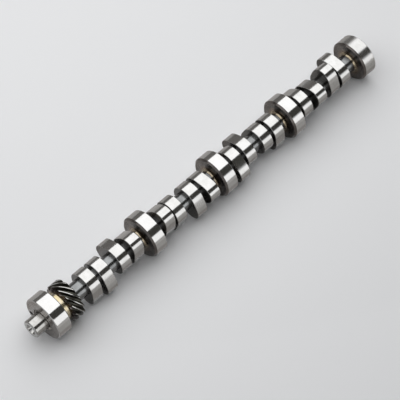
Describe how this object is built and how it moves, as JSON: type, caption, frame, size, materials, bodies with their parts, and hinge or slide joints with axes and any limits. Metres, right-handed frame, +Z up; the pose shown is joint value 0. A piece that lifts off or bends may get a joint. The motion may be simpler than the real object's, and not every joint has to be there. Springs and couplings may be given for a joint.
{
  "type": "camshaft",
  "caption": "One-piece roller camshaft with ground lobes in bays between bearing journals, a front nose for the sprocket and an integral helical gear behind the front journal.",
  "frame": {"origin": "centre of the front face of the first journal, the face that takes the thrust, on the shaft axis", "axes": "+X along the shaft axis from the nose towards the rear end, +Z up with the shaft lying level, +Y to the left when looking along +X"},
  "size_m": [0.519, 0.0528, 0.0528],
  "materials": {
    "ground_steel": "ground and polished on the lobes and journals, dark and satin on the turned side faces, gear and core"
  },
  "bodies": {
    "root": {"camshaft": "ground_steel"}
  },
  "joints": []
}
